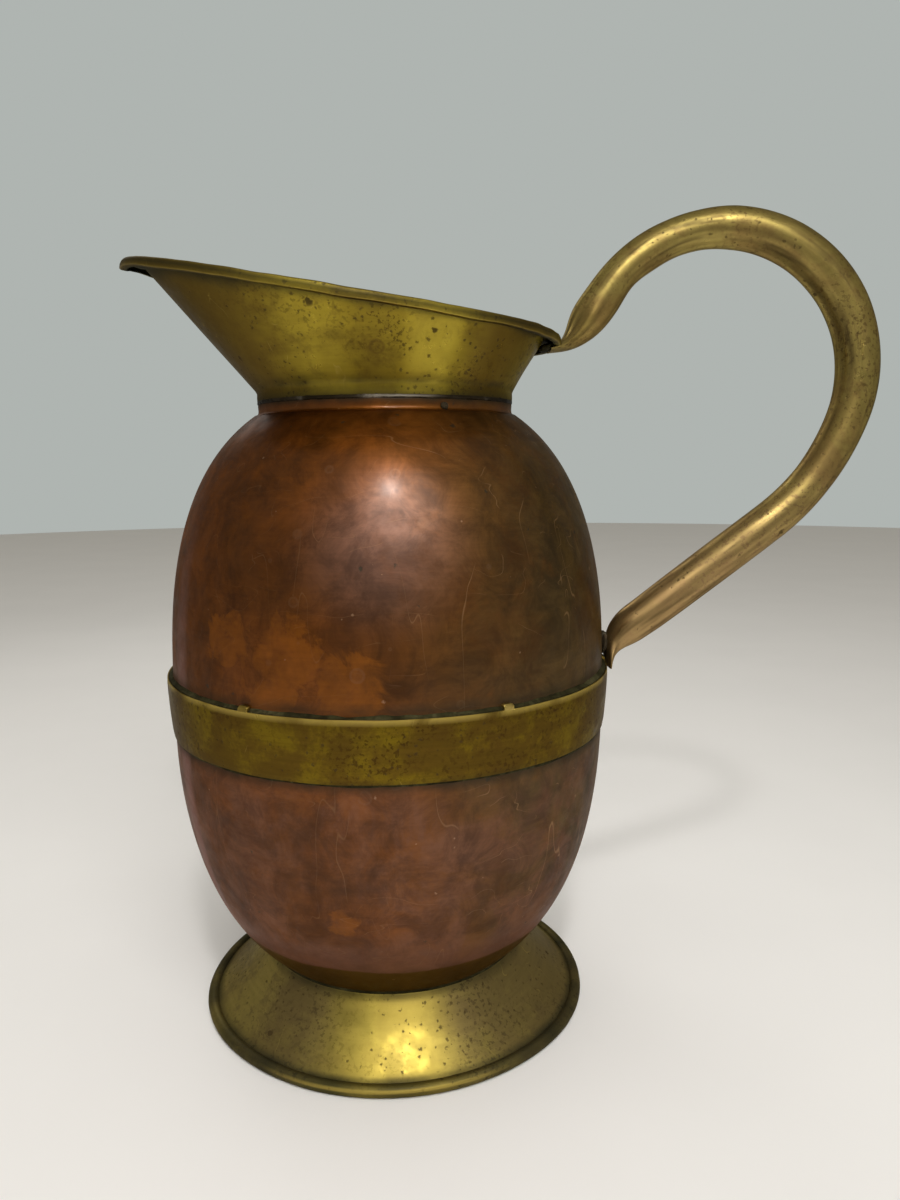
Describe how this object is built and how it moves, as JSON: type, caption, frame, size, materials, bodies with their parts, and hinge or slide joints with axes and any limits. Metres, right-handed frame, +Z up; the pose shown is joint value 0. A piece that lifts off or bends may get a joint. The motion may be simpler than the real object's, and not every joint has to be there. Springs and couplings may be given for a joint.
{
  "type": "copper water jug",
  "caption": "Copper water jug with a brass waist band, a flared brass foot, an oblique brass pouring collar with a rolled rim, and a looped brass tube handle.",
  "frame": {"origin": "centre of the foot's resting face, on the jug's own axis", "axes": "+Z up along the jug's axis, -X towards the spout, +X towards the handle"},
  "size_m": [0.3057, 0.1846, 0.333],
  "materials": {
    "copper": "aged, brown patina",
    "brass": "aged, olive tarnish with pits",
    "handle_brass": "worn, lightly tarnished",
    "tin": "dull, wiped",
    "old_solder": "dark, crusted",
    "wire": "plain drawn"
  },
  "bodies": {
    "root": {"foot_flare": "brass", "foot_rim_wire": "wire", "foot_solder": "old_solder", "lower_bowl": "copper", "upper_shell": "copper", "waist_solder": "tin", "waist_band": "brass", "band_upper_solder": "old_solder", "band_lower_solder": "old_solder", "band_cleats": "brass", "neck_solder": "tin", "neck_solder_drop": "old_solder", "pouring_collar": "brass", "handle_tube": "handle_brass", "handle_upper_solder": "old_solder", "handle_lower_solder": "old_solder"}
  },
  "joints": []
}
